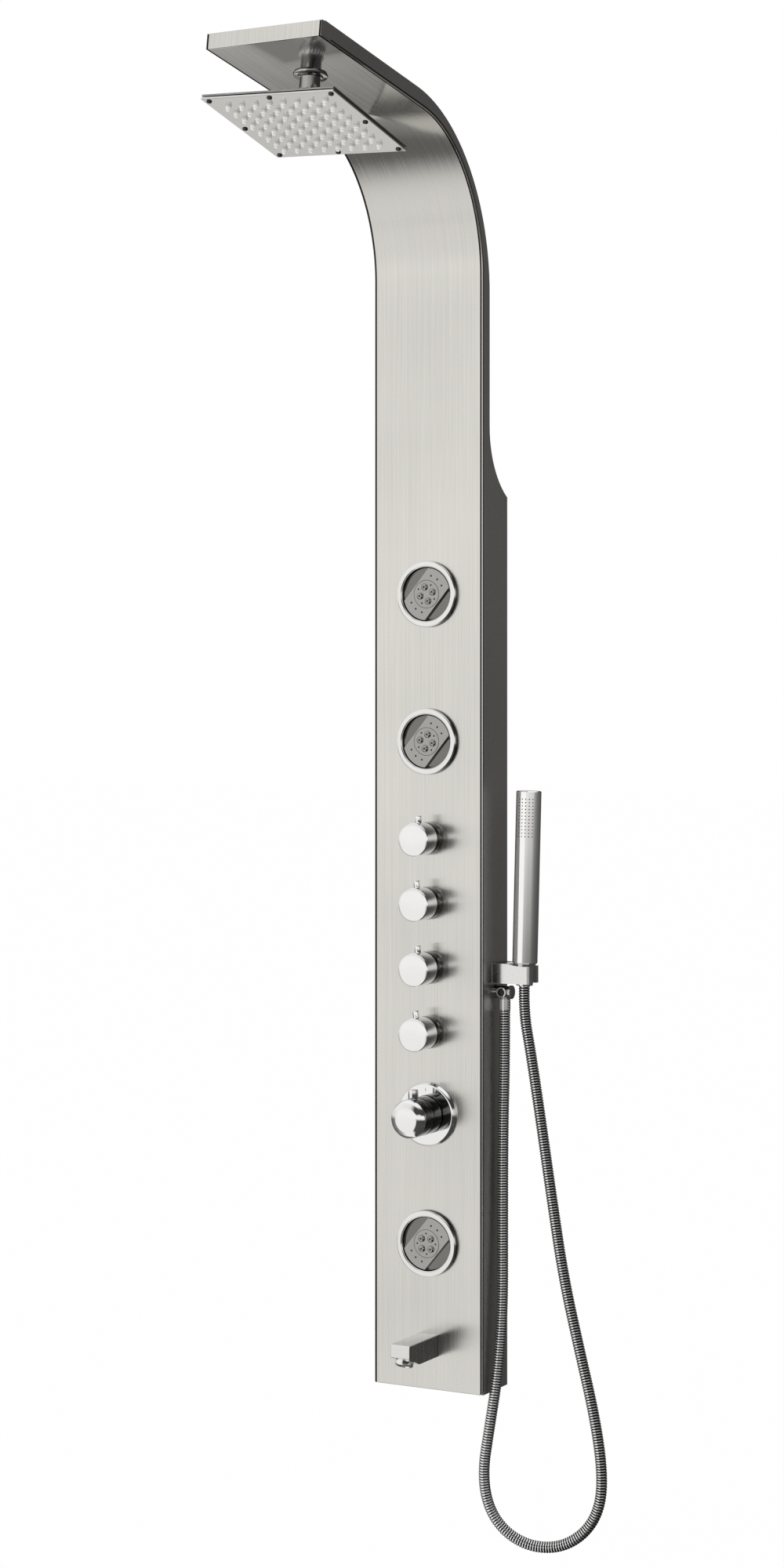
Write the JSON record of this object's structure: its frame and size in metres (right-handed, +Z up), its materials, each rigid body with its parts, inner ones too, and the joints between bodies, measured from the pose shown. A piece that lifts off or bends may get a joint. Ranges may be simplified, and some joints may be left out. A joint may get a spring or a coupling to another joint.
{
  "type": "shower panel column",
  "caption": "Wall-hung steel shower column with overhead shower, body jets, diverter knobs, mixer, bath spout and hand shower on a hose.",
  "frame": {"origin": "centre of the upper wall bracket's two screw holes, on the wall plane", "axes": "+Z up, +X to the right of someone facing the panel, +Y into the wall"},
  "size_m": [0.3211, 0.4762, 1.8408],
  "materials": {
    "brushed_front": "vertically brushed",
    "polished_side": "polished, dark reflections",
    "chrome": "polished",
    "jet_grey": "satin",
    "zinc": "zinc plated",
    "brass": "cast",
    "silicone": "white silicone",
    "plastic": "moulded",
    "head_steel": "polished",
    "pipe": "hose",
    "hose_steel": "interlocked strip"
  },
  "bodies": {
    "panel": {"aerator": "chrome", "arm_elbow": "brass", "arm_nipple": "chrome", "back_cover": "polished_side", "front_panel": "brushed_front", "handset_holder": "chrome", "hanger_rails": "zinc", "hose": "hose_steel", "hose_nut": "chrome", "hose_outlet": "chrome", "jet_a_bezel": "chrome", "jet_b_bezel": "chrome", "jet_c_bezel": "chrome", "jet_cups": "plastic", "jet_screws": "zinc", "knob_collars": "chrome", "manifold": "brass", "mixer_body": "brass", "mixer_plate": "chrome", "mixer_stop_ring": "chrome", "outlet_pipes": "pipe", "overhead_pipe": "pipe", "riser_pipe": "brass", "side_panel_left": "polished_side", "side_panel_right": "polished_side", "spout": "chrome", "swivel_nut": "chrome", "valve_cartridges": "plastic", "valve_lock_nuts": "brass", "wall_bracket_lower": "zinc", "wall_bracket_upper": "zinc"},
    "mixer_handle": {"mixer_knob": "chrome", "mixer_spindle": "brass"},
    "head_swivel": {"swivel_seat": "plastic"},
    "overhead_shower": {"head_stem": "chrome", "head_top_plate": "head_steel", "head_face_plate": "head_steel", "nozzle_mat": "silicone", "head_screws": "chrome"},
    "hand_shower": {"hand_shower_body": "chrome", "hand_shower_spray": "silicone", "hand_shower_cap": "chrome", "hand_shower_nut": "chrome"},
    "jet_a_gimbal": {"jet_a_carrier": "plastic"},
    "jet_a_insert": {"jet_a_face": "jet_grey"},
    "jet_a_nozzle": {"jet_a_rotor": "jet_grey"},
    "jet_b_gimbal": {"jet_b_carrier": "plastic"},
    "jet_b_insert": {"jet_b_face": "jet_grey"},
    "jet_b_nozzle": {"jet_b_rotor": "jet_grey"},
    "jet_c_gimbal": {"jet_c_carrier": "plastic"},
    "jet_c_insert": {"jet_c_face": "jet_grey"},
    "jet_c_nozzle": {"jet_c_rotor": "jet_grey"},
    "overhead_handle": {"overhead_knob": "chrome", "overhead_spindle": "brass"},
    "jets_handle": {"jets_knob": "chrome", "jets_spindle": "brass"},
    "handset_handle": {"handset_knob": "chrome", "handset_spindle": "brass"},
    "spout_handle": {"spout_knob": "chrome", "spout_spindle": "brass"}
  },
  "joints": [
    {"name": "jet_a_swivel", "type": "hinge", "parent": "panel", "child": "jet_a_gimbal", "pos_m": [0, -0.067, -0.061], "axis": [0, -1, 0], "continuous": true},
    {"name": "jet_a_tilt", "type": "hinge", "parent": "jet_a_gimbal", "child": "jet_a_insert", "pos_m": [0, -0.067, -0.061], "axis": [1, 0, 0], "range_deg": [-10, 10]},
    {"name": "jet_a_spin", "type": "hinge", "parent": "jet_a_insert", "child": "jet_a_nozzle", "pos_m": [0, -0.0745, -0.061], "axis": [0, -1, 0], "continuous": true},
    {"name": "jet_b_swivel", "type": "hinge", "parent": "panel", "child": "jet_b_gimbal", "pos_m": [0, -0.067, -0.248], "axis": [0, -1, 0], "continuous": true},
    {"name": "jet_b_tilt", "type": "hinge", "parent": "jet_b_gimbal", "child": "jet_b_insert", "pos_m": [0, -0.067, -0.248], "axis": [1, 0, 0], "range_deg": [-10, 10]},
    {"name": "jet_b_spin", "type": "hinge", "parent": "jet_b_insert", "child": "jet_b_nozzle", "pos_m": [0, -0.0745, -0.248], "axis": [0, -1, 0], "continuous": true},
    {"name": "jet_c_swivel", "type": "hinge", "parent": "panel", "child": "jet_c_gimbal", "pos_m": [0, -0.067, -0.885], "axis": [0, -1, 0], "continuous": true},
    {"name": "jet_c_tilt", "type": "hinge", "parent": "jet_c_gimbal", "child": "jet_c_insert", "pos_m": [0, -0.067, -0.885], "axis": [1, 0, 0], "range_deg": [-10, 10]},
    {"name": "jet_c_spin", "type": "hinge", "parent": "jet_c_insert", "child": "jet_c_nozzle", "pos_m": [0, -0.0745, -0.885], "axis": [0, -1, 0], "continuous": true},
    {"name": "overhead_turn", "type": "hinge", "parent": "panel", "child": "overhead_handle", "pos_m": [0, -0.07, -0.371], "axis": [0, -1, 0], "range_deg": [0, 90]},
    {"name": "jets_turn", "type": "hinge", "parent": "panel", "child": "jets_handle", "pos_m": [0, -0.07, -0.453], "axis": [0, -1, 0], "range_deg": [0, 90]},
    {"name": "handset_turn", "type": "hinge", "parent": "panel", "child": "handset_handle", "pos_m": [0, -0.07, -0.535], "axis": [0, -1, 0], "range_deg": [0, 90]},
    {"name": "spout_turn", "type": "hinge", "parent": "panel", "child": "spout_handle", "pos_m": [0, -0.07, -0.617], "axis": [0, -1, 0], "range_deg": [0, 90]},
    {"name": "mixer_turn", "type": "hinge", "parent": "panel", "child": "mixer_handle", "pos_m": [0, -0.07, -0.721], "axis": [0, -1, 0], "range_deg": [-60, 60]},
    {"name": "head_turn", "type": "hinge", "parent": "panel", "child": "head_swivel", "pos_m": [0, -0.37188, 0.5107], "axis": [0, -0.153, -0.9882], "continuous": true},
    {"name": "head_tilt", "type": "hinge", "parent": "head_swivel", "child": "overhead_shower", "pos_m": [0, -0.37188, 0.5107], "axis": [1, 0, 0], "range_deg": [-8, 16]},
    {"name": "handset_lift", "type": "slide", "parent": "panel", "child": "hand_shower", "axis": [0.0262, 0, 0.9997], "range_m": [0, 0.12]}
  ]
}
